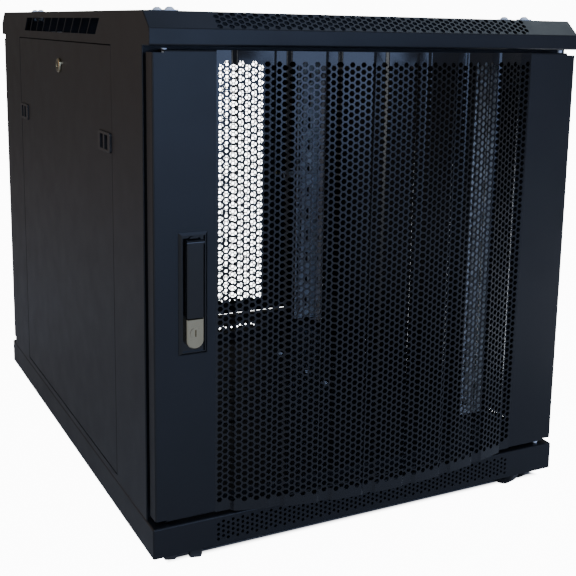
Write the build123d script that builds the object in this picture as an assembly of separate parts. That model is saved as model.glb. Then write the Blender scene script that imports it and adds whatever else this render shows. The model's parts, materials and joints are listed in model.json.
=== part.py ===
from build123d import *
import math
import os

os.makedirs("parts", exist_ok=True)

# 12U floor-standing 19-inch cabinet, millimetres.
# Working frame: X to the right seen from the front, Y from the front face (0) to the back face,
# Z up from the floor. Every part is moved by centre_shift on export, so that the origin is the
# bottom centre of the whole cabinet's box.

# Overall sizes
width = 600
depth = 800
body_height = 636
sheet = 1.5
bend_radius = 2.5
inner_bend = bend_radius - sheet
edge_radius = 1.2
ride_height = 23
skirt_height = 38
skirt_flange = 60
half_width = width / 2
inner_half = half_width - sheet
skirt_top = ride_height + skirt_height
roof_top = ride_height + body_height

# Roof
rim_height = 19
slope_run = 22
slope_rise = 19
rim_bottom = roof_top - slope_rise - rim_height
rim_top = roof_top - slope_rise
rim_flange = 24
roof_screw_x = 255
roof_screw_y = (60, 103)
roof_screw_radius = 3
roof_screw_length = 14
washer_radius = 10
washer_thickness = 1.6
dome_radius = 6
dome_height = 3.6
socket_radius = 2.1
socket_depth = 2

# Vent patterns
hex_pitch = 8.2
hex_column = hex_pitch * math.sqrt(3) / 2
hex_hole_radius = 3.6
vent_half_width = 222
skirt_vent_column = 6.4
skirt_vent_pitch = 6.4
skirt_hole_radius = 2.2
skirt_vent_rows = 4
slope_vent_rows = 3

# Doors
door_half = 297
door_bottom = skirt_top + 6
door_top = rim_bottom - 4
door_height = door_top - door_bottom
door_depth = 22
door_lip = 12
door_upright = 14
stile_inner = 222
notch_width = 14
notch_height = 3
bulge = 38
pleats = 8
pleat_pitch = 60
pleat_floor = 13
pleat_half = 10
pleat_depth = 3.3
pin_x = 279
pin_inset = 11
pin_radius = 3
pin_clearance = 0.05
pin_length = 26
pin_drawn_in = 1.5
rear_mesh_half = 216
rear_mesh_margin = 14

# Front swing handle
handle_x = -250.5
escutcheon_width = 35
escutcheon_bottom = 270
escutcheon_top = 414
escutcheon_proud = 3.6
escutcheon_bevel = 3
pocket_floor = 1.2
rim_wall = 4
lever_width = 21
lever_back = 3.9
lever_front = 10.1
lever_bottom = 315.4
lever_axis_z = 403
lever_axis_y = -(lever_back + lever_front) / 2
lever_end_radius = (lever_front - lever_back) / 2
tongue_width = 8
tongue_radius = 2
tongue_clearance = 0.3
lever_edge_radius = 2.5
lever_pin_radius = 1
hub_radius = 6.6
neck_base = 2
hub_shaft_radius = 4
lock_housing_top = 314.4
lock_housing_bottom = 278.6
lock_housing_proud = 9.2
key_z = 297.5
key_radius = 6.6
key_proud = 0.6
keyhole_half = 4
keyhole_width = 1.4
keyhole_depth = 4
boss_wall = 2
cam_y = 37
cam_thickness = 3
cam_half = 6
cam_gap = 3

# Cam locks of the rear door and of the side panels
cam_lock_radius = 10.4
cam_lock_proud = 3.8
cam_lock_shank = 7
cam_lock_plug = 5
rear_lock_x = 243
rear_lock_z = 350
rear_lock_proud = 3
rear_lock_shank = 18
rear_cam_depth = 43
side_lock_shank = 14
side_cam_depth = 19
side_cam_reach = 25
lock_nut_radius = 11
lock_nut_height = 3
lock_edge_radius = 2.2

# Side frames and side panels
skin_front = 25
opening_front = 142
opening_back = 658
opening_bottom = 70
opening_top = 619
opening_return = 14
ledge = 8
slot_count = 10
slot_pitch = 41
slot_first = 208
slot_bottom = 630
slot_height = 20
slot_bar = 2.5
panel_gap = 1
panel_sheet = 1.2
panel_return = 11
side_lock_y = 392
side_lock_z = 584
latch_length = 52
latch_height = 25
latch_z = 500
latch_travel = 8
latch_depth = 9
latch_proud = 2.4
latch_corner = 4
latch_edge = 0.8
latch_stem_inset = 9
latch_stem_half = 9.6
latch_back_inset = 4
latch_back_half = 11.8
latch_pocket_inset = 9.6
latch_pocket_length = 13.6
latch_pocket_half = 9
latch_pocket_floor = 2
latch_margin = panel_gap + 1.5

# Frames behind the doors
hoop_inset = 33
hoop_opening = 262
hoop_bottom = 66
hoop_top = 612
hoop_return = 16

# 19-inch mounting rails
rail_sheet = 2
rail_inner = 225
rail_outer = 264
rail_side_depth = 40
rail_bottom = 72
rail_length = 556
hole_line = 232.55
first_unit = 84
units = 12
unit_height = 44.45
unit_holes = (6.35, 22.225, 38.1)
square_hole = 9.5
front_rail_y = 120
depth_rail_outer = 279
depth_rail_height = 30
depth_rail_bottoms = (100, 565)
depth_slot_pitch = 40
depth_slot_length = 26
depth_slot_height = 7
side_slot_offset = 24
side_slot = (8, 16)
face_slot_offset = 17
face_slot = (6, 22)
bolt_clearance = 0.3
bolt_radius = 3
bolt_head_radius = 5.5
bolt_head_height = 4
bolt_reach = 5

# Floor plate, cable entries and fan openings
floor_half = 296
floor_front = 36
floor_screw_x = 114
floor_screw_y = (345, 406, 513)
floor_screw_radius = 2.5
floor_head_radius = 4.5
floor_head_height = 2.2
cover_half = 122
cover_front = 264
cover_back = 530
service_half = 105
cover_slot_count = 7
cover_slot_first = 296
cover_slot_pitch = 28
cover_slot_half = 98
cover_slot_width = 5
service_front = 258
service_back = 513
entry_half = 150
entry_front = 640
entry_back = 720
entry_cover_half = 158
entry_cover_length = 60
entry_overlap = 5
entry_lip = 12
roof_entry_half = 120
roof_entry_front = 690
roof_entry_back = 740
roof_cover_half = 128
roof_cover_length = 40
roof_grip_half = 30
roof_grip_height = 10
earth_place = (-243, 85)
earth_length = 18
earth_nut_radius = 5.8
earth_nut_height = 5
fan_x = 90
fan_y = 400
fan_radius = 56
fan_hole_pitch = 10
fan_hole_radius = 3.4
fan_bolt_spacing = 105
fan_bolt_radius = 2.15

# Casters
caster_x = 247
caster_y = 53
caster_trail = 20
wheel_radius = 25
wheel_width = 15.5
wheel_gap = 15
axle_radius = 4
hood_width = 13
stem_radius = 6
plate_size = 64
plate_thickness = 3
plate_bottom = skirt_top - sheet - plate_thickness
wheel_edge_radius = 3
dish_inset = 8
dish_depth = 3
dish_floor = 4
bearing_radius = 15
bearing_height = 1.5
fork_back = 8
fork_front = 11
fork_height = 3
caster_headings = {
    "front_left": (-1, 0, -15),
    "front_right": (1, 0, 15),
    "rear_left": (-1, 1, 205),
    "rear_right": (1, 1, 160),
}

# Working room for cuts that run right through a sheet
through = 20
small_gap = 0.4
screw_clearance = 0.1


def arch(x):
    """How far the front sheet stands out of the door's face, as a negative depth."""
    half = pleats / 2 * pleat_pitch - pleat_pitch / 2 + pleat_half
    return -bulge * (1 - (x / half) ** 2)


front_proud = -arch(pleat_pitch / 2 - pleat_half)
centre_shift = -(depth + rear_lock_proud - front_proud) / 2


def box(x0, x1, y0, y1, z0, z1):
    """A box between two corners."""
    return Pos((x0 + x1) / 2, (y0 + y1) / 2, (z0 + z1) / 2) * Box(x1 - x0, y1 - y0, z1 - z0)


def rod(radius, start, end):
    """A round bar between two points."""
    start = Vector(start)
    end = Vector(end)
    axis = end - start
    return extrude(Plane(start, z_dir=axis) * Circle(radius), amount=axis.length)


def slab(points, plane, amount):
    """A polygon given in a plane's own coordinates, extruded along its normal."""
    return extrude(plane * make_face(Polyline(*points, close=True)), amount=amount)


def rounded(points, *bends):
    """A polygon with some corners rounded. Each bend is a radius and the corners that get it."""
    face = make_face(Polyline(*points, close=True))
    for radius, corners in bends:
        picked = [v for v in face.vertices()
                  if any(math.hypot(v.X - x, v.Y - y) < 0.001 for x, y in corners)]
        face = fillet(picked, radius)
    return face


def staggered(columns, rows, column_step, row_step):
    """Centres of a staggered grid, odd columns shifted by half a row."""
    centres = []
    for column in range(columns):
        shift = row_step / 4 if column % 2 else -row_step / 4
        for row in range(rows):
            x = (column - (columns - 1) / 2) * column_step
            centres.append((x, (row - (rows - 1) / 2) * row_step + shift))
    return centres


def hex_cutters(plane, centres, radius):
    """Hexagonal punches through a sheet that lies in the plane."""
    holes = Sketch() + [Pos(x, y) * RegularPolygon(radius, 6) for x, y in centres]
    return extrude(plane.offset(-through / 4) * holes, amount=through / 2)


def mirrored(shape):
    """The same piece on the cabinet's other side."""
    return mirror(shape, about=Plane.YZ)


def save(node, *solids):
    """Writes one node, moved so that the origin is the bottom centre of the whole cabinet."""
    shift = Pos(0, centre_shift, 0)
    placed = [shift * solid for solid in solids]
    export_step(placed[0] if len(placed) == 1 else Compound(children=placed), f"parts/{node}.step")


# ---- base ----------------------------------------------------------------------------------

def make_base_ring():
    """The folded skirt with its flange all round and the vents of its front and rear."""
    outer = box(-half_width, half_width, 0, depth, ride_height, skirt_top)
    top_edges = outer.faces().sort_by(Axis.Z)[-1].edges()
    outer = fillet(outer.edges().filter_by(Axis.Z) + top_edges, bend_radius)
    hollow = box(-inner_half, inner_half, sheet, depth - sheet, ride_height - 1, skirt_top - sheet)
    hollow = fillet(hollow.edges().filter_by(Axis.Z), inner_bend)
    window = box(skirt_flange - half_width, half_width - skirt_flange, skirt_flange, depth - skirt_flange,
                 ride_height, skirt_top + 1)
    ring = outer - hollow - window
    for y in (pin_inset, depth - pin_inset):
        for x in (-pin_x, pin_x):
            ring -= rod(pin_radius + pin_clearance, (x, y, skirt_top - through / 2), (x, y, skirt_top + 1))
    columns = int(2 * vent_half_width / skirt_vent_column)
    grid = staggered(columns, skirt_vent_rows, skirt_vent_column, skirt_vent_pitch)
    middle = ride_height + skirt_height / 2
    for y in (0, depth):
        ring -= hex_cutters(Plane((0, y, middle), x_dir=(1, 0, 0), z_dir=(0, -1, 0)), grid,
                            skirt_hole_radius)
    return ring


def make_base():
    """The ring as four members: front and rear with their flanges, the two sides between them."""
    ring = make_base_ring()
    wall = box(-half_width, half_width, 0, sheet, ride_height, skirt_top)
    flange = box(-half_width, half_width, 0, skirt_flange, skirt_top - sheet, skirt_top)
    front_space = wall + flange
    rear_space = across_depth(front_space)
    sides = ring - front_space - rear_space
    left_space = box(-half_width, 0, 0, depth, ride_height, skirt_top)
    return ring & front_space, ring & rear_space, sides & left_space, sides & mirrored(left_space)


def make_caster_plates():
    plates = []
    for side, back, _ in caster_headings.values():
        x = side * caster_x
        y = depth - caster_y if back else caster_y
        half = plate_size / 2
        x_edges = sorted((x - side * half, side * (inner_half - inner_bend)))
        wall = sheet + inner_bend
        y_edges = (y - half, depth - wall) if back else (wall, y + half)
        plate = box(*x_edges, *y_edges, plate_bottom, plate_bottom + plate_thickness)
        plate -= rod(stem_radius + pin_clearance, (x, y, plate_bottom - 1), (x, y, skirt_top))
        for pin_y in (pin_inset, depth - pin_inset):
            plate -= rod(pin_radius + 1, (side * pin_x, pin_y, plate_bottom - 1),
                         (side * pin_x, pin_y, skirt_top))
        plates.append(plate)
    return plates


def make_floor_plate():
    plate = box(-floor_half, floor_half, floor_front, depth - floor_front, skirt_top, skirt_top + sheet)
    plate -= box(-service_half, service_half, service_front, service_back, 0, skirt_top + through)
    plate -= box(-entry_half, entry_half, entry_front, entry_back, 0, skirt_top + through)
    for side in (-1, 1):
        x = side * floor_screw_x
        for y in floor_screw_y:
            plate -= rod(floor_screw_radius + screw_clearance, (x, y, skirt_top - 1),
                         (x, y, skirt_top + through))
    return plate


def make_floor_cover():
    low = skirt_top + sheet
    cover = box(-cover_half, cover_half, cover_front, cover_back, low, low + sheet)
    for x in (-floor_screw_x, floor_screw_x):
        for y in floor_screw_y:
            cover -= rod(floor_screw_radius + screw_clearance, (x, y, low - 1), (x, y, low + through))
    for index in range(cover_slot_count):
        y = cover_slot_first + index * cover_slot_pitch
        cover -= box(-cover_slot_half, cover_slot_half, y, y + cover_slot_width, low - 1, low + through)
    return cover


def make_floor_screws():
    low = skirt_top + sheet
    screws = []
    seat = low + sheet
    for x in (-floor_screw_x, floor_screw_x):
        for y in floor_screw_y:
            shank = rod(floor_screw_radius, (x, y, skirt_top), (x, y, seat))
            head = rod(floor_head_radius, (x, y, seat), (x, y, seat + floor_head_height))
            screws.append(shank + head)
    return screws


def make_entry_cover():
    low = skirt_top + sheet
    y0 = entry_front - entry_overlap
    cover = box(-entry_cover_half, entry_cover_half, y0, y0 + entry_cover_length, low, low + sheet)
    lip = box(-entry_cover_half, entry_cover_half, y0, y0 + sheet, low, low + entry_lip)
    return cover + lip


# ---- roof ----------------------------------------------------------------------------------

def roof_outline(inset):
    """Half of the roof's folded section, from the rim flange's edge to the flat top."""
    corner = inset * math.tan(math.atan2(slope_rise, slope_run) / 2)
    return [
        (rim_flange, rim_bottom + inset),
        (inset, rim_bottom + inset),
        (inset, rim_top - corner),
        (slope_run + corner, roof_top - inset),
    ]


def both_ends(line):
    """A section's half line, joined to the same line at the cabinet's back."""
    return line + [(depth - y, z) for y, z in reversed(line)]


def make_roof():
    outer = both_ends(roof_outline(0))
    inner = both_ends(roof_outline(sheet))
    section = rounded(outer + list(reversed(inner)), (bend_radius, outer[1:-1]), (inner_bend, inner[1:-1]))
    plane = Plane((-inner_half, 0, 0), x_dir=(0, 1, 0), z_dir=(1, 0, 0))
    roof = extrude(plane * section, amount=2 * inner_half)
    for y in (pin_inset, depth - pin_inset):
        for x in (-pin_x, pin_x):
            roof -= rod(pin_radius + pin_clearance, (x, y, rim_bottom - 1), (x, y, rim_bottom + sheet + 1))
    columns = int(2 * vent_half_width / hex_column)
    grid = staggered(columns, slope_vent_rows, hex_column, hex_pitch)
    slope_middle = roof_top - slope_rise / 2
    for y, lean in ((slope_run / 2, -1), (depth - slope_run / 2, 1)):
        normal = (0, lean * slope_rise, slope_run)
        slope = Plane((0, y, slope_middle), x_dir=(1, 0, 0), z_dir=normal)
        roof -= hex_cutters(slope, grid, hex_hole_radius)
    top = Plane((0, 0, roof_top))
    fan_columns = int(2 * fan_radius / fan_hole_pitch) + 2
    fan_grid = staggered(fan_columns, fan_columns, fan_hole_pitch * math.sqrt(3) / 2, fan_hole_pitch)
    for side in (-1, 1):
        centre_x = side * fan_x
        grille = [(centre_x + x, fan_y + y) for x, y in fan_grid if math.hypot(x, y) < fan_radius]
        roof -= hex_cutters(top, grille, fan_hole_radius)
        half = fan_bolt_spacing / 2
        bolts = [Pos(centre_x + x, fan_y + y) * Circle(fan_bolt_radius)
                 for x in (-half, half) for y in (-half, half)]
        roof -= extrude(top * (Sketch() + bolts), amount=-through / 4)
        x = side * roof_screw_x
        for y in roof_screw_rows():
            roof -= rod(roof_screw_radius + screw_clearance, (x, y, roof_top - through / 4),
                        (x, y, roof_top + 1))
    roof -= box(-roof_entry_half, roof_entry_half, roof_entry_front, roof_entry_back,
                roof_top - through / 4, roof_top + 1)
    return roof


def roof_screw_rows():
    """Depths of the roof screws, two pairs of rows."""
    return [*roof_screw_y, *[depth - y for y in roof_screw_y]]


def make_roof_washers():
    washers = []
    bore = roof_screw_radius + screw_clearance
    for x in (-roof_screw_x, roof_screw_x):
        for y in roof_screw_rows():
            ring = rod(washer_radius, (x, y, roof_top), (x, y, roof_top + washer_thickness))
            washers.append(ring - rod(bore, (x, y, roof_top - 1), (x, y, roof_top + through)))
    return washers


def make_roof_screws():
    seat = roof_top + washer_thickness
    sphere_radius = (dome_radius ** 2 + dome_height ** 2) / (2 * dome_height)
    screws = []
    for x in (-roof_screw_x, roof_screw_x):
        for y in roof_screw_rows():
            ball = Pos(x, y, seat + dome_height - sphere_radius) * Sphere(sphere_radius)
            dome = ball & box(x - through, x + through, y - through, y + through, seat, seat + through)
            shank = rod(roof_screw_radius, (x, y, roof_top - roof_screw_length), (x, y, seat))
            socket = Pos(x, y, seat + dome_height) * extrude(RegularPolygon(socket_radius, 6),
                                                                 amount=-socket_depth)
            screws.append(dome + shank - socket)
    return screws


def make_roof_cover():
    y1 = roof_entry_back + entry_overlap
    y0 = y1 - roof_cover_length
    low = roof_top - 2 * sheet
    cover = box(-roof_cover_half, roof_cover_half, y0, y1, low, low + sheet)
    grip = box(-roof_grip_half, roof_grip_half, y0, y0 + sheet, low - roof_grip_height, low)
    return cover + grip


# ---- side frames ---------------------------------------------------------------------------

def make_side_skin():
    """The left skin in one sheet, with the panel opening and the vent slots cut out."""
    outline = [
        (skin_front, skirt_top), (depth - skin_front, skirt_top),
        (depth - skin_front, rim_bottom), (depth, rim_bottom), (depth, rim_top),
        (depth - slope_run, roof_top), (slope_run, roof_top), (0, rim_top), (0, rim_bottom),
        (skin_front, rim_bottom),
    ]
    plane = Plane((-half_width, 0, 0), x_dir=(0, 1, 0), z_dir=(1, 0, 0))
    skin = extrude(plane * rounded(outline, (bend_radius, outline[3:9])), amount=sheet)
    skin = fillet(skin.faces().sort_by(Axis.X)[0].edges(), edge_radius)
    skin -= box(-half_width - 1, -inner_half + 1, opening_front, opening_back, opening_bottom, opening_top)
    for index in range(slot_count):
        y0 = slot_first + index * slot_pitch
        y1 = y0 + slot_pitch - slot_bar
        slot = [(y0, slot_bottom), (y1, slot_bottom),
                (y1 - slot_height, slot_bottom + slot_height), (y0 - slot_height, slot_bottom + slot_height)]
        skin -= slab(slot, plane, sheet)
    return skin


def make_ring(x0, x1, outer, inner):
    """Four straight bars round the panel opening, at two distances outside its edge."""
    y_outer = (opening_front - outer, opening_back + outer)
    y_inner = (opening_front - inner, opening_back + inner)
    z_outer = (opening_bottom - outer, opening_top + outer)
    z_inner = (opening_bottom - inner, opening_top + inner)
    return [
        box(x0, x1, y_outer[0], y_inner[0], *z_outer),
        box(x0, x1, y_inner[1], y_outer[1], *z_outer),
        box(x0, x1, *y_inner, z_outer[0], z_inner[0]),
        box(x0, x1, *y_inner, z_inner[1], z_outer[1]),
    ]


def make_side_frame():
    """Left side: two post skins, a sill and a vent band, with a collar and ledge welded behind."""
    skin = make_side_skin()
    outside = -half_width - 1
    inside = -inner_half + 1
    skins = [
        skin & box(outside, inside, 0, opening_front, 0, roof_top),
        skin & box(outside, inside, opening_back, depth, 0, roof_top),
        skin & box(outside, inside, opening_front, opening_back, 0, opening_bottom),
        skin & box(outside, inside, opening_front, opening_back, opening_top, roof_top),
    ]
    back_x = -half_width + opening_return
    collar = make_ring(-inner_half, back_x, sheet, 0)
    rim = make_ring(back_x, back_x + sheet, sheet, -ledge)
    return skins + collar + rim


def make_hoop():
    """Front frame behind the door: posts and cross bars with a return round the opening."""
    face = box(-inner_half, inner_half, hoop_inset, hoop_inset + sheet, skirt_top, roof_top - sheet)
    hole = box(-hoop_opening, hoop_opening, hoop_inset - 1, hoop_inset + through, hoop_bottom, hoop_top)
    outer = box(-hoop_opening - sheet, hoop_opening + sheet, hoop_inset + sheet, hoop_inset + hoop_return,
                hoop_bottom - sheet, hoop_top + sheet)
    return (face - hole) + (outer - hole)


def across_depth(shape):
    """The same piece at the cabinet's back."""
    return mirror(shape, about=Plane((0, depth / 2, 0), z_dir=(0, 1, 0)))


# ---- rails ---------------------------------------------------------------------------------

def make_front_rail():
    """Front right rail: a face with square holes and a side flange that bolts to the depth rails."""
    back = front_rail_y + rail_sheet
    inner = rail_outer - rail_sheet
    end = front_rail_y + rail_side_depth
    profile = [(rail_inner, front_rail_y), (rail_outer, front_rail_y), (rail_outer, end), (inner, end),
               (inner, back), (rail_inner, back)]
    section = rounded(profile, (rail_sheet + inner_bend, profile[1:2]), (inner_bend, profile[4:5]))
    rail = extrude(Plane((0, 0, rail_bottom)) * section, amount=rail_length)
    half = square_hole / 2
    squares = [Pos(hole_line, first_unit + unit * unit_height + z) * Rectangle(square_hole, square_hole)
               for unit in range(units) for z in unit_holes]
    slots = [Pos(hole_line + face_slot_offset, first_unit + (unit + 0.5) * unit_height)
             * Rectangle(*face_slot) for unit in range(units)]
    face_plane = Plane((0, front_rail_y - 1, 0), x_dir=(1, 0, 0), z_dir=(0, -1, 0))
    rail -= extrude(face_plane * (Sketch() + squares + slots), amount=-(rail_sheet + 2))
    side_plane = Plane((rail_outer + 1, 0, 0), x_dir=(0, 1, 0), z_dir=(1, 0, 0))
    slot_y = front_rail_y + side_slot_offset
    side_slots = [Pos(slot_y, first_unit + (unit + 0.5) * unit_height) * Rectangle(*side_slot)
                  for unit in range(units)]
    bolt_holes = [Pos(slot_y, z + depth_rail_height / 2) * Circle(bolt_radius + bolt_clearance)
                  for z in depth_rail_bottoms]
    rail -= extrude(side_plane * (Sketch() + side_slots + bolt_holes), amount=-(rail_sheet + 2))
    return rail


def make_depth_rails():
    """Right side: lower and upper slotted channels from the front frame to the rear frame."""
    y0 = hoop_inset + sheet
    y1 = depth - y0
    channels = []
    for z0 in depth_rail_bottoms:
        z1 = z0 + depth_rail_height
        channel = box(rail_outer, depth_rail_outer, y0, y1, z0, z1)
        channel -= box(rail_outer + sheet, depth_rail_outer + 1, y0, y1, z0 + sheet, z1 - sheet)
        channel += box(rail_outer, depth_rail_outer, y0, y0 + sheet, z0, z1)
        channel += box(rail_outer, depth_rail_outer, y1 - sheet, y1, z0, z1)
        count = int((y1 - y0) / depth_slot_pitch)
        centre = (z0 + z1) / 2
        slots = [Pos(depth / 2 + (index - (count - 1) / 2) * depth_slot_pitch, centre)
                 * SlotOverall(depth_slot_length, depth_slot_height) for index in range(count)]
        plane = Plane((rail_outer - 1, 0, 0), x_dir=(0, 1, 0), z_dir=(1, 0, 0))
        channel -= extrude(plane * (Sketch() + slots), amount=sheet + 2)
        channels.append(channel)
    return channels


def make_rail_bolts():
    """Bolts from the rails' side flanges into the depth rails, one at each crossing."""
    bolts = []
    for side in (-1, 1):
        for y in (front_rail_y + side_slot_offset, depth - front_rail_y - side_slot_offset):
            for z0 in depth_rail_bottoms:
                z = z0 + depth_rail_height / 2
                seat = side * (rail_outer - rail_sheet)
                shank = rod(bolt_radius, (seat, y, z), (seat + side * bolt_reach, y, z))
                hexagon = Plane((seat, y, z), z_dir=(-side, 0, 0)) * RegularPolygon(bolt_head_radius, 6)
                head = extrude(hexagon, amount=bolt_head_height)
                bolts.append(shank + head)
    return bolts


def make_earth_stud():
    low = skirt_top + sheet
    stud = rod(bolt_radius, (*earth_place, low), (*earth_place, low + earth_length))
    nut = Pos(*earth_place, low) * extrude(RegularPolygon(earth_nut_radius, 6), amount=earth_nut_height)
    return stud + nut


# ---- doors ---------------------------------------------------------------------------------

def make_door_pan(window_half, window_margin):
    """A folded door in the front position: stiles, returns, back lips and a central window."""
    lip = door_lip
    outer = box(-door_half, door_half, 0, door_depth, door_bottom, door_top)
    hollow = box(sheet - door_half, door_half - sheet, sheet, door_depth - sheet,
                 door_bottom + sheet, door_top - sheet)
    pan = fillet(outer.edges(), bend_radius) - fillet(hollow.edges(), inner_bend)
    pan -= box(lip - door_half, door_half - lip, through / 2, door_depth + 1,
               door_bottom + lip, door_top - lip)
    pan -= box(-window_half, window_half, -1, sheet, door_bottom + window_margin, door_top - window_margin)
    for side in (-1, 1):
        edges = sorted((side * window_half, side * (window_half + sheet)))
        pan += box(*edges, sheet, door_upright, door_bottom + sheet, door_top - sheet)
    for side in (-1, 1):
        edges = sorted((side * (door_half - notch_width), side * (door_half + 1)))
        pan -= box(*edges, -1, door_depth + 1, door_top - notch_height, door_top + 1)
        pan -= box(*edges, -1, door_depth + 1, door_bottom - 1, door_bottom + notch_height)
        pan -= rod(pin_radius, (side * pin_x, pin_inset, door_bottom - 1),
                   (side * pin_x, pin_inset, door_top + 1))
    return pan


def make_front_door_frame():
    pan = make_door_pan(stile_inner, 0)
    pan -= rod(hub_radius - 1, (handle_x, -1, lever_axis_z), (handle_x, sheet, lever_axis_z))
    pan -= rod(key_radius + boss_wall, (handle_x, -1, key_z), (handle_x, sheet, key_z))
    return pan


def pleated_line():
    """The front sheet's outer face in plan: flat facets with a narrow pleat sunk between them."""
    points = [(-stile_inner, 0)]
    for index in range(pleats):
        centre = (index - (pleats - 1) / 2) * pleat_pitch
        floor = arch(centre) + pleat_depth
        points.append((centre - pleat_half, arch(centre - pleat_half)))
        points.append((centre - pleat_floor / 2, floor))
        points.append((centre + pleat_floor / 2, floor))
        points.append((centre + pleat_half, arch(centre + pleat_half)))
    points.append((stile_inner, 0))
    return points


def make_front_door_mesh():
    line = pleated_line()
    inner = [(x, y + sheet) for x, y in reversed(line)]
    folds = line[1:-1] + inner[1:-1]
    section = rounded(line + inner, (edge_radius, folds))
    sheet_metal = extrude(Plane((0, 0, door_bottom)) * section, amount=door_height)
    cap = rounded(line + [(stile_inner, sheet), (-stile_inner, sheet)], (edge_radius, line[1:-1]))
    for z in (door_bottom, door_top - sheet):
        sheet_metal += extrude(Plane((0, 0, z)) * cap, amount=sheet)
    return sheet_metal


def make_rear_door_mesh():
    return box(-rear_mesh_half, rear_mesh_half, depth - sheet, depth,
               door_bottom + rear_mesh_margin, door_top - rear_mesh_margin)


def make_hinge_pins(hinge_side):
    """Spring pins of a door in the front position: out on the hinge side, drawn in on the other."""
    pins = []
    for side in (-1, 1):
        out = side == hinge_side
        top = rim_bottom + sheet if out else door_top + pin_drawn_in
        bottom = skirt_top - sheet if out else door_bottom - pin_drawn_in
        x = side * pin_x
        pins.append(rod(pin_radius, (x, pin_inset, door_top - pin_length), (x, pin_inset, top)))
        pins.append(rod(pin_radius, (x, pin_inset, bottom), (x, pin_inset, door_bottom + pin_length)))
    return pins


# ---- front handle --------------------------------------------------------------------------

def make_escutcheon():
    half = escutcheon_width / 2
    plate = box(handle_x - half, handle_x + half, -escutcheon_proud, 0, escutcheon_bottom, escutcheon_top)
    front = plate.faces().sort_by(Axis.Y)[0]
    plate = chamfer(front.edges(), escutcheon_bevel)
    inner = half - rim_wall
    plate -= box(handle_x - inner, handle_x + inner, -escutcheon_proud, -pocket_floor,
                 escutcheon_bottom + rim_wall, escutcheon_top - rim_wall)
    boss = rod(hub_radius - 1, (handle_x, 0, lever_axis_z), (handle_x, door_depth, lever_axis_z))
    boss += rod(key_radius + boss_wall, (handle_x, 0, key_z), (handle_x, door_depth / 2, key_z))
    bore = rod(hub_shaft_radius + pin_clearance, (handle_x, -through, lever_axis_z),
               (handle_x, door_depth + 1, lever_axis_z))
    return plate + boss - bore


def make_handle_hub():
    axis_start = (handle_x, -pocket_floor, lever_axis_z)
    disc = rod(hub_radius, axis_start, (handle_x, -escutcheon_proud + small_gap, lever_axis_z))
    shaft = rod(hub_shaft_radius, axis_start, (handle_x, cam_y + cam_thickness + 2, lever_axis_z))
    half = tongue_width / 2
    neck = box(handle_x - half, handle_x + half, lever_axis_y, -neck_base,
               lever_axis_z - tongue_radius, lever_axis_z + tongue_radius)
    tongue = rod(tongue_radius, (handle_x - half, lever_axis_y, lever_axis_z),
                 (handle_x + half, lever_axis_y, lever_axis_z))
    pin_hole = rod(lever_pin_radius, (handle_x - through, lever_axis_y, lever_axis_z),
                   (handle_x + through, lever_axis_y, lever_axis_z))
    return disc + shaft + neck + tongue - pin_hole


def make_lever_pin():
    half = lever_width / 2 - 1
    return rod(lever_pin_radius, (handle_x - half, lever_axis_y, lever_axis_z),
               (handle_x + half, lever_axis_y, lever_axis_z))


def make_handle_lever():
    half = lever_width / 2
    grip = box(handle_x - half, handle_x + half, -lever_front, -lever_back, lever_bottom, lever_axis_z)
    front = grip.edges().filter_by(Axis.Z).sort_by(Axis.Y)[:2]
    grip = fillet(front, lever_edge_radius)
    end = rod(lever_end_radius, (handle_x - half, lever_axis_y, lever_axis_z),
              (handle_x + half, lever_axis_y, lever_axis_z))
    lever = grip + end
    slot_half = tongue_width / 2 + tongue_clearance
    slot = rod(tongue_radius + small_gap, (handle_x - slot_half, lever_axis_y, lever_axis_z),
               (handle_x + slot_half, lever_axis_y, lever_axis_z))
    slot += box(handle_x - slot_half, handle_x + slot_half, lever_axis_y, 0,
                lever_axis_z - tongue_radius - small_gap, lever_axis_z + through)
    pin_hole = rod(lever_pin_radius + pin_clearance, (handle_x - half + 1, lever_axis_y, lever_axis_z),
                   (handle_x + half - 1, lever_axis_y, lever_axis_z))
    return lever - slot - pin_hole


def make_lock_housing():
    half = lever_width / 2
    plane = Plane((handle_x, -pocket_floor, 0), x_dir=(1, 0, 0), z_dir=(0, -1, 0))
    round_end = Pos(0, lock_housing_bottom + half) * Circle(half)
    straight = lock_housing_top - lock_housing_bottom - half
    block = Pos(0, lock_housing_top - straight / 2) * Rectangle(lever_width, straight)
    housing = extrude(plane * (round_end + block), amount=lock_housing_proud - pocket_floor)
    front = housing.faces().sort_by(Axis.Y)[0]
    housing = chamfer(front.edges(), 1)
    return housing - rod(key_radius + pin_clearance, (handle_x, -through, key_z), (handle_x, 1, key_z))


def make_key_cylinder():
    front = -lock_housing_proud - key_proud
    plug = rod(key_radius, (handle_x, front, key_z), (handle_x, -pocket_floor, key_z))
    return plug - box(handle_x - keyhole_width / 2, handle_x + keyhole_width / 2, front - 1,
                      front + keyhole_depth, key_z - keyhole_half, key_z + keyhole_half)


def make_latch_cam():
    tip = -hoop_opening + cam_gap
    cam = box(tip, handle_x + hub_shaft_radius + boss_wall, cam_y, cam_y + cam_thickness,
              lever_axis_z - cam_half, lever_axis_z + cam_half)
    return cam - rod(hub_shaft_radius, (handle_x, 0, lever_axis_z), (handle_x, through * 3, lever_axis_z))


# ---- cam locks -----------------------------------------------------------------------------

def make_lock_body(proud, shank_end, wall):
    """A cam lock on the +Z axis: rosette from 0 up to proud, shank down through a wall, and a nut."""
    rosette = rod(cam_lock_radius, (0, 0, 0), (0, 0, proud))
    rosette = fillet(rosette.edges().sort_by(Axis.Z)[-1:], min(lock_edge_radius, proud - small_gap))
    shank = rod(cam_lock_shank, (0, 0, -shank_end), (0, 0, 0))
    nut = Pos(0, 0, -wall) * extrude(RegularPolygon(lock_nut_radius, 6), amount=-lock_nut_height)
    bore = rod(cam_lock_plug + pin_clearance, (0, 0, -shank_end - 1), (0, 0, proud + 1))
    return rosette + shank + nut - bore


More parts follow.
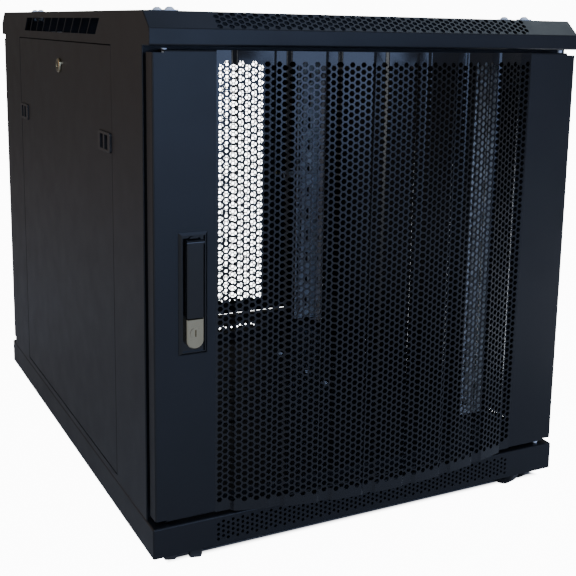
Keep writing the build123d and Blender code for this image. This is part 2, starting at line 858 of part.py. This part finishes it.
def make_lock_plug(proud, length):
    plug = rod(cam_lock_plug, (0, 0, -length), (0, 0, proud - small_gap))
    return plug - box(-keyhole_width / 2, keyhole_width / 2, -keyhole_half, keyhole_half,
                      proud - keyhole_depth, proud + 1)


def make_lock_cam(reach, low, thickness):
    """A cam plate that points along +Y from the lock's axis."""
    cam = box(-cam_half, cam_half, -cam_lock_plug - boss_wall, reach, low, low + thickness)
    return cam - rod(cam_lock_plug, (0, 0, low - 1), (0, 0, low + through))


rear_lock_place = Plane((rear_lock_x, depth, rear_lock_z), x_dir=(0, 0, 1), z_dir=(0, 1, 0))
side_lock_place = Plane((-half_width, side_lock_y, side_lock_z), x_dir=(0, -1, 0), z_dir=(-1, 0, 0))


# ---- side panels ---------------------------------------------------------------------------

def latch_start(front):
    """Depth at which a latch's face plate starts."""
    if front:
        return opening_front + latch_margin
    return opening_back - latch_margin - latch_length


def make_side_panel():
    y0 = opening_front + panel_gap
    y1 = opening_back - panel_gap
    z0 = opening_bottom + panel_gap
    z1 = opening_top - panel_gap
    x0 = -half_width
    panel = box(x0, x0 + panel_return, y0, y1, z0, z1)
    face_edges = panel.faces().sort_by(Axis.X)[0].edges()
    panel = fillet(face_edges + panel.edges().filter_by(Axis.X), edge_radius)
    panel -= box(x0 + panel_sheet, x0 + panel_return + 1, y0 + panel_sheet, y1 - panel_sheet,
                 z0 + panel_sheet, z1 - panel_sheet)
    panel -= rod(cam_lock_shank, (x0 - 1, side_lock_y, side_lock_z), (x0 + through, side_lock_y, side_lock_z))
    for front in (True, False):
        start = latch_start(front)
        slide = latch_travel if front else -latch_travel
        y_low, y_high = sorted((start + latch_stem_inset, start + latch_stem_inset + slide))
        y_high += latch_length - 2 * latch_stem_inset
        half = latch_stem_half + small_gap
        panel -= box(x0 - 1, x0 + through / 2, y_low - small_gap, y_high + small_gap,
                     latch_z - half, latch_z + half)
    return panel


def make_latch(front):
    """A slide latch: face plate with a finger pocket, a stem through the panel and a back plate."""
    start = latch_start(front)
    end = start + latch_length
    half = latch_height / 2
    x0 = -half_width
    face = box(x0 - latch_proud, x0, start, end, latch_z - half, latch_z + half)
    face = fillet(face.edges().filter_by(Axis.X), latch_corner)
    face = fillet(face.faces().sort_by(Axis.X)[0].edges(), latch_edge)
    stem = box(x0, x0 + latch_depth, start + latch_stem_inset, end - latch_stem_inset,
               latch_z - latch_stem_half, latch_z + latch_stem_half)
    back = box(x0 + panel_sheet, x0 + latch_depth, start + latch_back_inset, end - latch_back_inset,
               latch_z - latch_back_half, latch_z + latch_back_half)
    latch = face + stem + back
    for y in (start + latch_pocket_inset, end - latch_pocket_inset - latch_pocket_length):
        latch -= box(x0 - through, x0 + latch_depth - latch_pocket_floor, y, y + latch_pocket_length,
                     latch_z - latch_pocket_half, latch_z + latch_pocket_half)
    return latch


# ---- casters -------------------------------------------------------------------------------

def make_caster_body():
    """Twin-wheel caster about its swivel axis, trailing along -Y, on the floor at z = 0."""
    half = hood_width / 2
    low = 2 * wheel_radius
    hub = rod(wheel_radius - dish_floor, (-half, -caster_trail, wheel_radius),
              (half, -caster_trail, wheel_radius))
    block = box(-half, half, -caster_trail - fork_back, fork_front, wheel_radius, low + fork_height)
    disc = rod(bearing_radius, (0, 0, low + bearing_height), (0, 0, plate_bottom - small_gap))
    stem = rod(stem_radius, (0, 0, low), (0, 0, skirt_top - sheet - small_gap))
    reach = wheel_gap / 2 + wheel_width
    axle = rod(axle_radius, (-reach, -caster_trail, wheel_radius), (reach, -caster_trail, wheel_radius))
    return hub + block + disc + stem + axle


def make_caster_wheels():
    wheels = []
    for side in (-1, 1):
        inner = side * wheel_gap / 2
        outer = side * (wheel_gap / 2 + wheel_width)
        wheel = rod(wheel_radius, (inner, -caster_trail, wheel_radius), (outer, -caster_trail, wheel_radius))
        wheel = fillet(wheel.edges().filter_by(GeomType.CIRCLE), wheel_edge_radius)
        dish = rod(wheel_radius - dish_inset, (outer - side * dish_depth, -caster_trail, wheel_radius),
                   (outer + side, -caster_trail, wheel_radius))
        boss = rod(axle_radius + wheel_edge_radius, (outer - side * dish_floor, -caster_trail, wheel_radius),
                   (outer - side, -caster_trail, wheel_radius))
        bore = rod(axle_radius + pin_clearance, (-through * 2, -caster_trail, wheel_radius),
                   (through * 2, -caster_trail, wheel_radius))
        wheels.append(wheel - dish + boss - bore)
    return wheels


# ---- writing every node --------------------------------------------------------------------

base_front, base_rear, base_left, base_right = make_base()
save("base_front", base_front)
save("base_rear", base_rear)
save("base_sides", base_left, base_right)
save("caster_plates", *make_caster_plates())
save("floor_plate", make_floor_plate())
save("floor_cover", make_floor_cover())
save("floor_screws", *make_floor_screws())
save("cable_entry_cover", make_entry_cover())
save("roof", make_roof())
save("roof_washers", *make_roof_washers())
save("roof_screws", *make_roof_screws())
save("roof_cable_cover", make_roof_cover())

side_frame = make_side_frame()
save("left_side_frame", *side_frame)
save("right_side_frame", *[mirrored(member) for member in side_frame])
hoop = make_hoop()
save("front_frame", hoop)
save("rear_frame", across_depth(hoop))

front_right_rail = make_front_rail()
save("rail_front_right", front_right_rail)
save("rail_front_left", mirrored(front_right_rail))
save("rail_rear_right", across_depth(front_right_rail))
save("rail_rear_left", mirrored(across_depth(front_right_rail)))
right_depth_rails = make_depth_rails()
save("depth_rails_right", *right_depth_rails)
save("depth_rails_left", *[mirrored(channel) for channel in right_depth_rails])
save("rail_bolts", *make_rail_bolts())
save("earth_stud", make_earth_stud())

save("front_door_frame", make_front_door_frame())
save("front_door_mesh", make_front_door_mesh())
save("front_hinge_pins", *make_hinge_pins(1))
save("handle_escutcheon", make_escutcheon())
save("handle_hub", make_handle_hub())
save("handle_lever", make_handle_lever())
save("lever_pin", make_lever_pin())
save("lock_housing", make_lock_housing())
save("key_cylinder", make_key_cylinder())
save("latch_cam", make_latch_cam())

rear_pan = across_depth(make_door_pan(rear_mesh_half, rear_mesh_margin))
rear_pan -= rod(cam_lock_shank, (rear_lock_x, depth - through / 2, rear_lock_z),
                (rear_lock_x, depth + 1, rear_lock_z))
save("rear_door_frame", rear_pan)
save("rear_door_mesh", make_rear_door_mesh())
save("rear_hinge_pins", *[across_depth(pin) for pin in make_hinge_pins(-1)])
save("rear_lock_body", rear_lock_place * make_lock_body(rear_lock_proud, rear_lock_shank, sheet))
save("rear_lock_plug", rear_lock_place * make_lock_plug(rear_lock_proud, rear_cam_depth))
rear_cam_reach = hoop_opening - cam_gap - rear_lock_x
save("rear_lock_cam", rear_lock_place * make_lock_cam(rear_cam_reach, -rear_cam_depth, cam_thickness))

side_parts = {
    "side_panel": make_side_panel(),
    "lock_body": side_lock_place * make_lock_body(cam_lock_proud, side_lock_shank, panel_sheet),
    "lock_plug": side_lock_place * make_lock_plug(cam_lock_proud, side_cam_depth),
    "lock_cam": side_lock_place * Rot(0, 0, -90)
    * make_lock_cam(side_cam_reach, -side_cam_depth, cam_thickness),
    "latch_front": make_latch(True),
    "latch_rear": make_latch(False),
}
for name, piece in side_parts.items():
    save(f"left_{name}", piece)
    save(f"right_{name}", mirrored(piece))

for corner, (side, back, heading) in caster_headings.items():
    y = depth - caster_y if back else caster_y
    place = Pos(side * caster_x, y, 0) * Rot(0, 0, heading)
    save(f"caster_{corner}", place * make_caster_body())
    save(f"wheels_{corner}", *[place * wheel for wheel in make_caster_wheels()])
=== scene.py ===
import json
import math

import bpy
from mathutils import Matrix, Vector
from mathutils.geometry import delaunay_2d_cdt


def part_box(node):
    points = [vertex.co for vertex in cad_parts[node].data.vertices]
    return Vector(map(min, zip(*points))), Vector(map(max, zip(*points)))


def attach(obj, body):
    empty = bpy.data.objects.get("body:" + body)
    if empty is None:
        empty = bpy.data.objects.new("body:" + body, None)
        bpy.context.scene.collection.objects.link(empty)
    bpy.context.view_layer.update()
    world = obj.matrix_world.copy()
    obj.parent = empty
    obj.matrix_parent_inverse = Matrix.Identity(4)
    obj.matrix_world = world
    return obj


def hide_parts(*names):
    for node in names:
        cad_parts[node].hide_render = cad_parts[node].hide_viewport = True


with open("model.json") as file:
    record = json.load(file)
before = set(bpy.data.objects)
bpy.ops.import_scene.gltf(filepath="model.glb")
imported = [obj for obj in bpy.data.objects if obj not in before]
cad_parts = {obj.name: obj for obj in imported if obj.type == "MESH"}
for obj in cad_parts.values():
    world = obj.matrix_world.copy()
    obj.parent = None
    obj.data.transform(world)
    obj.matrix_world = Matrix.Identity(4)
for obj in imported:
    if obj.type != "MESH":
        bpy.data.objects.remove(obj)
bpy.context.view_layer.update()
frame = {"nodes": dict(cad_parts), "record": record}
nodes = frame["nodes"]

MM = 0.001

# Corners of the front door's frame, and the depths of the cabinet's front and back faces
door_low, door_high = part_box("front_door_frame")
front_face = door_low.y
back_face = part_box("rear_door_frame")[1].y


# ---- node helpers ---------------------------------------------------------------------------

def ramp_node(tree, source, low, high, colours):
    ramp = tree.nodes.new("ShaderNodeValToRGB")
    ramp.color_ramp.elements[0].position = low
    ramp.color_ramp.elements[1].position = high
    ramp.color_ramp.elements[0].color = (*colours[0], 1)
    ramp.color_ramp.elements[1].color = (*colours[1], 1)
    tree.links.new(source, ramp.inputs["Fac"])
    return ramp.outputs["Color"]


def range_node(tree, source, low, high, out_low, out_high):
    node = tree.nodes.new("ShaderNodeMapRange")
    for key, value in zip(("From Min", "From Max", "To Min", "To Max"), (low, high, out_low, out_high)):
        node.inputs[key].default_value = value
    tree.links.new(source, node.inputs["Value"])
    return node.outputs["Result"]


def noise_node(tree, coordinates, scale, detail, stretch=(1, 1, 1)):
    mapping = tree.nodes.new("ShaderNodeMapping")
    mapping.inputs["Scale"].default_value = stretch
    tree.links.new(coordinates, mapping.inputs["Vector"])
    noise = tree.nodes.new("ShaderNodeTexNoise")
    noise.inputs["Scale"].default_value = scale
    noise.inputs["Detail"].default_value = detail
    tree.links.new(mapping.outputs["Vector"], noise.inputs["Vector"])
    return noise.outputs["Fac"]


# ---- camera, lights and floor ---------------------------------------------------------------

IMAGE_SIZE = 576
FOCAL_PIXELS = 1003.98
SHIFT_PIXELS = (25, 75)
CAMERA_PLACE = (-650.84, -1044.97, 643.4)
YAW = 0.4872
PITCH = 0.1824
ROLL = 0.0207
SENSOR_WIDTH = 36
CLIP_NEAR = 0.05
CLIP_FAR = 60


def make_camera():
    """A camera placed in mm from the foot of the front face's middle, turned by angles in radians."""
    data = bpy.data.cameras.new("camera")
    data.sensor_width = SENSOR_WIDTH
    data.lens = FOCAL_PIXELS / IMAGE_SIZE * data.sensor_width
    data.shift_x = -SHIFT_PIXELS[0] / IMAGE_SIZE
    data.shift_y = -SHIFT_PIXELS[1] / IMAGE_SIZE
    data.clip_start = CLIP_NEAR
    data.clip_end = CLIP_FAR
    camera = bpy.data.objects.new("camera", data)
    bpy.context.scene.collection.objects.link(camera)
    forward = Vector((math.sin(YAW) * math.cos(PITCH),
                      math.cos(YAW) * math.cos(PITCH),
                      -math.sin(PITCH)))
    level = Vector((math.cos(YAW), -math.sin(YAW), 0))
    up = level.cross(forward)
    right = level * math.cos(ROLL) + up * math.sin(ROLL)
    top = up * math.cos(ROLL) - level * math.sin(ROLL)
    matrix = Matrix((right, top, -forward)).transposed().to_4x4()
    x, y, z = CAMERA_PLACE
    matrix.translation = Vector((x * MM, y * MM + front_face, z * MM))
    camera.matrix_world = matrix
    bpy.context.scene.camera = camera


def make_light(name, place, target, size, power, colour):
    """A rectangular soft light that faces its target and is itself out of sight."""
    data = bpy.data.lights.new(name, "AREA")
    data.shape = "RECTANGLE"
    data.size, data.size_y = size
    data.energy = power
    data.color = colour
    light = bpy.data.objects.new(name, data)
    light.location = place
    light.rotation_euler = (Vector(target) - Vector(place)).to_track_quat("-Z", "Y").to_euler()
    light.visible_camera = False
    bpy.context.scene.collection.objects.link(light)


BACKDROP_STRENGTH = 12.0
FILL_COLOUR = (1.0, 0.98, 0.96, 1)
FILL_STRENGTH = 0.14
WHITE = (1, 1, 1, 1)


def make_world():
    """A faint fill light all round, and a white backdrop that only the camera sees."""
    world = bpy.data.worlds.new("studio")
    world.use_nodes = True
    tree = world.node_tree
    tree.nodes.clear()
    out = tree.nodes.new("ShaderNodeOutputWorld")
    fill = tree.nodes.new("ShaderNodeBackground")
    fill.inputs["Color"].default_value = FILL_COLOUR
    fill.inputs["Strength"].default_value = FILL_STRENGTH
    backdrop = tree.nodes.new("ShaderNodeBackground")
    backdrop.inputs["Color"].default_value = WHITE
    backdrop.inputs["Strength"].default_value = BACKDROP_STRENGTH
    seen = tree.nodes.new("ShaderNodeLightPath")
    mix = tree.nodes.new("ShaderNodeMixShader")
    tree.links.new(seen.outputs["Is Camera Ray"], mix.inputs[0])
    tree.links.new(fill.outputs[0], mix.inputs[1])
    tree.links.new(backdrop.outputs[0], mix.inputs[2])
    tree.links.new(mix.outputs[0], out.inputs[0])
    bpy.context.scene.world = world


FLOOR_HALF = 30
FLOOR_ROUGHNESS = 0.9
FLOOR_SPECULAR = 0.1
# Rectangle of painted shadow on the floor under the cabinet: centre and half sizes in m
PAINTED_SHADOW_CENTRE = (0.014, (front_face + back_face) / 2)
PAINTED_SHADOW_HALF = (0.286, 0.372)
# Where the camera-only glow starts again past the painted shadow under the cabinet
GLOW_FROM = 0.985
GLOW_FULL = 1.01
# Where the near-black painted shadow on the floor gives way to the pale floor
PALE_FROM = 0.97
PALE_FULL = 0.99
# Near-black painted shadow under the cabinet, and the pale floor around it
FLOOR_SHADOW_AND_PALE = ((0.01, 0.01, 0.01), (0.80, 0.80, 0.81))


def painted_shadow_edge(tree):
    """0 at the middle of the painted shadow under the cabinet, 1 on its outline and more outside it."""
    coordinates = tree.nodes.new("ShaderNodeTexCoord").outputs["Object"]
    scaled = tree.nodes.new("ShaderNodeMapping")
    scaled.inputs["Location"].default_value = (-PAINTED_SHADOW_CENTRE[0] / PAINTED_SHADOW_HALF[0],
                                               -PAINTED_SHADOW_CENTRE[1] / PAINTED_SHADOW_HALF[1], 0)
    scaled.inputs["Scale"].default_value = (1 / PAINTED_SHADOW_HALF[0], 1 / PAINTED_SHADOW_HALF[1], 0)
    tree.links.new(coordinates, scaled.inputs["Vector"])
    offset = tree.nodes.new("ShaderNodeVectorMath")
    offset.operation = "ABSOLUTE"
    tree.links.new(scaled.outputs["Vector"], offset.inputs[0])
    split = tree.nodes.new("ShaderNodeSeparateXYZ")
    tree.links.new(offset.outputs["Vector"], split.inputs[0])
    larger = tree.nodes.new("ShaderNodeMath")
    larger.operation = "MAXIMUM"
    tree.links.new(split.outputs["X"], larger.inputs[0])
    tree.links.new(split.outputs["Y"], larger.inputs[1])
    return larger.outputs[0]


def make_floor():
    """A wide pale floor. Its own glow is seen by the camera only, so it doesn't light the cabinet.

    The glow and the pale colour stop under the cabinet, where the floor turns near black: a painted
    shadow, where little light reaches."""
    half = FLOOR_HALF
    mesh = bpy.data.meshes.new("studio_floor")
    mesh.from_pydata([(-half, -half, 0), (half, -half, 0), (half, half, 0), (-half, half, 0)], [],
                     [(0, 1, 2, 3)])
    floor = bpy.data.objects.new("studio_floor", mesh)
    bpy.context.scene.collection.objects.link(floor)
    material = bpy.data.materials.new("studio_floor")
    material.use_nodes = True
    tree = material.node_tree
    shader = tree.nodes["Principled BSDF"]
    shader.inputs["Roughness"].default_value = FLOOR_ROUGHNESS
    shader.inputs["Specular IOR Level"].default_value = FLOOR_SPECULAR
    shadow_edge = painted_shadow_edge(tree)
    # Painted shadow: the floor's colour is near black under the cabinet
    tree.links.new(ramp_node(tree, shadow_edge, PALE_FROM, PALE_FULL, FLOOR_SHADOW_AND_PALE), shader.inputs["Base Color"])
    glow = tree.nodes.new("ShaderNodeEmission")
    glow.inputs["Color"].default_value = WHITE
    # Painted shadow: no glow under the cabinet
    strength = range_node(tree, shadow_edge, GLOW_FROM, GLOW_FULL, 0, BACKDROP_STRENGTH)
    tree.links.new(strength, glow.inputs["Strength"])
    dark = tree.nodes.new("ShaderNodeEmission")
    dark.inputs["Strength"].default_value = 0
    seen = tree.nodes.new("ShaderNodeLightPath")
    mix = tree.nodes.new("ShaderNodeMixShader")
    add = tree.nodes.new("ShaderNodeAddShader")
    tree.links.new(seen.outputs["Is Camera Ray"], mix.inputs[0])
    tree.links.new(dark.outputs[0], mix.inputs[1])
    tree.links.new(glow.outputs[0], mix.inputs[2])
    tree.links.new(shader.outputs[0], add.inputs[0])
    tree.links.new(mix.outputs[0], add.inputs[1])
    tree.links.new(add.outputs[0], tree.nodes["Material Output"].inputs["Surface"])
    mesh.materials.append(material)


make_camera()
make_world()
make_floor()
middle = (0, 0, 0.35)
make_light("top_soft", (1.3, -0.1, 3.0), middle, (2.2, 2.0), 15, (0.42, 0.58, 1.0))
make_light("top_right", (1.65, -0.15, 2.2), (0.25, -0.35, 0.65), (0.7, 1.2), 7, (0.80, 0.92, 0.90))
make_light("front_cool", (0.7, -3.9, 1.0), middle, (2.8, 1.7), 62, (0.42, 0.58, 1.0))
make_light("left_warm", (-3.4, 2.2, 1.0), middle, (2.6, 2.2), 19, (1.0, 0.68, 0.48))
make_light("left_glint", (-3.2, -2.6, 0.9), middle, (0.9, 2.0), 22, (0.90, 0.95, 1.0))
make_light("right_glint", (1.4, -0.44, 0.18), (1.2, -0.44, 1.18), (0.07, 1.5), 10, (0.90, 0.94, 1.0))
make_light("front_high", (-1.2, -2.6, 2.6), middle, (1.2, 1.2), 42, (0.60, 0.74, 1.0))


# ---- materials ------------------------------------------------------------------------------

BUMP_DISTANCE = 0.0004
CLOUD_DETAIL = 5
CLOUD_RANGE = (0.3, 0.7)
GRAIN_DETAIL = 3
SMUDGE_SCALE = 26
SMUDGE_DETAIL = 6
SMUDGE_RANGE = (0.3, 0.75)


def make_material(name, colours, roughness, grain, bump, metallic=0.0, specular=0.5, cloud=9,
                  stretch=(1, 1, 1)):
    """A procedural finish: broad colour clouds, fine grain in the bump and uneven gloss."""
    material = bpy.data.materials.new(name)
    material.use_nodes = True
    tree = material.node_tree
    shader = tree.nodes["Principled BSDF"]
    coordinates = tree.nodes.new("ShaderNodeTexCoord").outputs["Object"]
    clouds = noise_node(tree, coordinates, cloud, CLOUD_DETAIL)
    tree.links.new(ramp_node(tree, clouds, *CLOUD_RANGE, colours), shader.inputs["Base Color"])
    fine = noise_node(tree, coordinates, grain, GRAIN_DETAIL, stretch)
    smudge = noise_node(tree, coordinates, SMUDGE_SCALE, SMUDGE_DETAIL)
    tree.links.new(range_node(tree, smudge, *SMUDGE_RANGE, *roughness), shader.inputs["Roughness"])
    bumps = tree.nodes.new("ShaderNodeBump")
    bumps.inputs["Strength"].default_value = bump
    bumps.inputs["Distance"].default_value = BUMP_DISTANCE
    tree.links.new(fine, bumps.inputs["Height"])
    tree.links.new(bumps.outputs["Normal"], shader.inputs["Normal"])
    shader.inputs["Metallic"].default_value = metallic
    shader.inputs["Specular IOR Level"].default_value = specular
    return material


PAINT_COLOURS = ((0.0066, 0.0070, 0.0084), (0.0082, 0.0088, 0.0104))
finishes = {
    "painted_steel": make_material("painted_steel", PAINT_COLOURS, (0.40, 0.46), specular=0.3,
                                   grain=1100, bump=0.16),
    "perforated_steel": make_material("perforated_steel", PAINT_COLOURS, (0.15, 0.20), specular=0.42,
                                      grain=1100, bump=0.14),
    "zinc_steel": make_material("zinc_steel", ((0.78, 0.84, 0.95), (0.88, 0.93, 1.0)), (0.34, 0.50),
                                metallic=0.05, grain=300, bump=0.1, cloud=60),
    "gloss_handle": make_material("gloss_handle", ((0.0020, 0.0020, 0.0022), (0.0032, 0.0032, 0.0034)),
                                  (0.08, 0.14), specular=0.5, grain=600, bump=0.02),
    "nickel_lock": make_material("nickel_lock", ((0.36, 0.31, 0.20), (0.46, 0.40, 0.27)), (0.12, 0.20),
                                 metallic=1.0, grain=700, bump=0.03, stretch=(1, 1, 0.2)),
    "latch_plastic": make_material("latch_plastic", ((0.010, 0.010, 0.011), (0.016, 0.016, 0.018)),
                                   (0.40, 0.55), grain=1600, bump=0.12),
    "caster_plastic": make_material("caster_plastic", ((0.008, 0.008, 0.009), (0.014, 0.014, 0.016)),
                                    (0.30, 0.45), grain=1200, bump=0.08),
}


# ---- perforated sheets ----------------------------------------------------------------------

PITCH_Z = 8.2
COLUMN = PITCH_Z * math.sqrt(3) / 2
HOLE_RADIUS = 3.5
BULGE = 38
PLEATS = 8
PLEAT_PITCH = 60
PLEAT_FLOOR = 13
PLEAT_HALF = 10
PLEAT_DEPTH = 3.3
SHEET_HALF = 222
FOLD_RADIUS = 2.5
FOLD_STEPS = 3
SMOOTH_UNDER = 30
SHEET_THICKNESS = 1.5
MERGE_DISTANCE = 1e-5
HOLE_CORNERS = 6


def arch(x):
    """How far the pleated sheet stands out of the door's face, as a negative depth in mm."""
    half = PLEATS / 2 * PLEAT_PITCH - PLEAT_PITCH / 2 + PLEAT_HALF
    return -BULGE * (1 - (x / half) ** 2)


def pleated_line():
    """Outer face of the front sheet in plan: flat facets with a narrow pleat sunk between them."""
    points = [(-SHEET_HALF, 0)]
    for index in range(PLEATS):
        centre = (index - (PLEATS - 1) / 2) * PLEAT_PITCH
        floor = arch(centre) + PLEAT_DEPTH
        points.append((centre - PLEAT_HALF, arch(centre - PLEAT_HALF)))
        points.append((centre - PLEAT_FLOOR / 2, floor))
        points.append((centre + PLEAT_FLOOR / 2, floor))
        points.append((centre + PLEAT_HALF, arch(centre + PLEAT_HALF)))
    points.append((SHEET_HALF, 0))
    line = [points[0]]
    for corner in zip(points, points[1:], points[2:]):
        line.extend(fold(*corner))
    line.append(points[-1])
    return line


def fold(before, corner, after):
    """A sharp corner of a plan line as a short arc."""
    c = Vector(corner)
    start = (Vector(before) - c).normalized()
    end = (Vector(after) - c).normalized()
    turn = math.pi - start.angle(end)
    reach = FOLD_RADIUS * math.tan(turn / 2)
    centre = c + (start + end).normalized() * FOLD_RADIUS / math.cos(turn / 2)
    first = c + start * reach - centre
    last = c + end * reach - centre
    arc = []
    for step in range(FOLD_STEPS + 1):
        part = step / FOLD_STEPS
        spoke = (first * (1 - part) + last * part).normalized() * FOLD_RADIUS
        arc.append(tuple(centre + spoke))
    return arc


def depth_on(line, x):
    """Depth of a plan line at x."""
    for (x0, y0), (x1, y1) in zip(line, line[1:]):
        if x <= x1:
            return y0 + (y1 - y0) * (x - x0) / (x1 - x0)
    return line[-1][1]


def hex_centres(x0, x1, z0, z1):
    """Staggered hole centres that fill a rectangle."""
    columns = int((x1 - x0 - 2 * HOLE_RADIUS) / COLUMN) + 1
    rows = int((z1 - z0 - PITCH_Z / 2 - 2 * HOLE_RADIUS) / PITCH_Z) + 1
    centres = []
    for column in range(columns):
        x = (x0 + x1) / 2 + (column - (columns - 1) / 2) * COLUMN
        shift = PITCH_Z / 4 if column % 2 else -PITCH_Z / 4
        for row in range(rows):
            centres.append((x, (z0 + z1) / 2 + (row - (rows - 1) / 2) * PITCH_Z + shift))
    return centres


def perforated_sheet(name, half, low, high, holes, line, front, body, slot, node):
    """A steel sheet with hexagonal holes, folded along a plan line. Sizes in mm, front in m."""
    points = [Vector((-half, low)), Vector((half, low)), Vector((half, high)), Vector((-half, high))]
    edges = [(0, 1), (1, 2), (2, 3), (3, 0)]
    for x, _ in line[1:-1]:
        edges.append((len(points), len(points) + 1))
        points.extend((Vector((x, low)), Vector((x, high))))
    faces = []
    for x, z in holes:
        first = len(points)
        for corner in range(HOLE_CORNERS):
            angle = corner * math.tau / HOLE_CORNERS
            points.append(Vector((x + HOLE_RADIUS * math.cos(angle), z + HOLE_RADIUS * math.sin(angle))))
        faces.append(tuple(range(first, first + HOLE_CORNERS)))
    verts, _, triangles, _, _, origins = delaunay_2d_cdt(points, edges, faces, 1, MERGE_DISTANCE)
    kept = [tuple(t) for t, origin in zip(triangles, origins) if not origin]
    count = len(verts)
    coordinates = []
    for back in (0, SHEET_THICKNESS):
        coordinates.extend((v.x * MM, front + (depth_on(line, v.x) + back) * MM, v.y * MM) for v in verts)
    directed = {}
    for a, b, c in kept:
        directed.update({(a, b): True, (b, c): True, (c, a): True})
    walls = [(b, a, a + count, b + count) for a, b in directed if (b, a) not in directed]
    polygons = kept + [(a + count, c + count, b + count) for a, b, c in kept] + walls
    mesh = bpy.data.meshes.new(name)
    mesh.from_pydata(coordinates, [], polygons)
    mesh.validate()
    mesh.polygons.foreach_set("use_smooth", [True] * len(mesh.polygons))
    mesh.set_sharp_from_angle(angle=math.radians(SMOOTH_UNDER))
    piece = bpy.data.objects.new(name, mesh)
    bpy.context.scene.collection.objects.link(piece)
    mesh.materials.append(finishes[slot])
    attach(piece, body)
    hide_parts(node)


PLAIN_BAND = 11
front_bottom, front_top = door_low.z / MM, door_high.z / MM
front_holes = hex_centres(-SHEET_HALF, SHEET_HALF, front_bottom + PLAIN_BAND, front_top - PLAIN_BAND)
perforated_sheet("front_perforated_sheet", SHEET_HALF, front_bottom, front_top, front_holes,
                 pleated_line(), front_face, "front_door", "perforated_steel", "front_door_mesh")

PLAIN_EDGE = 5
rear_low, rear_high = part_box("rear_door_mesh")
rear_half = rear_high.x / MM
rear_bottom, rear_top = rear_low.z / MM, rear_high.z / MM
rear_holes = hex_centres(-rear_half + PLAIN_EDGE, rear_half - PLAIN_EDGE,
                         rear_bottom + PLAIN_EDGE, rear_top - PLAIN_EDGE)
perforated_sheet("rear_perforated_sheet", rear_half, rear_bottom, rear_top, rear_holes,
                 [(-rear_half, 0), (rear_half, 0)], rear_low.y, "rear_door", "perforated_steel",
                 "rear_door_mesh")


# ---- finishes of the CAD nodes --------------------------------------------------------------

# The depth rails are painted like the frame they are fixed to
SHOWN_AS = {"depth_rails_left": "painted_steel", "depth_rails_right": "painted_steel"}

for part in frame["record"]["subparts"]:
    mesh = nodes[part["node"]].data
    mesh.materials.clear()
    mesh.materials.append(finishes[SHOWN_AS.get(part["node"], part["material_slot"])])
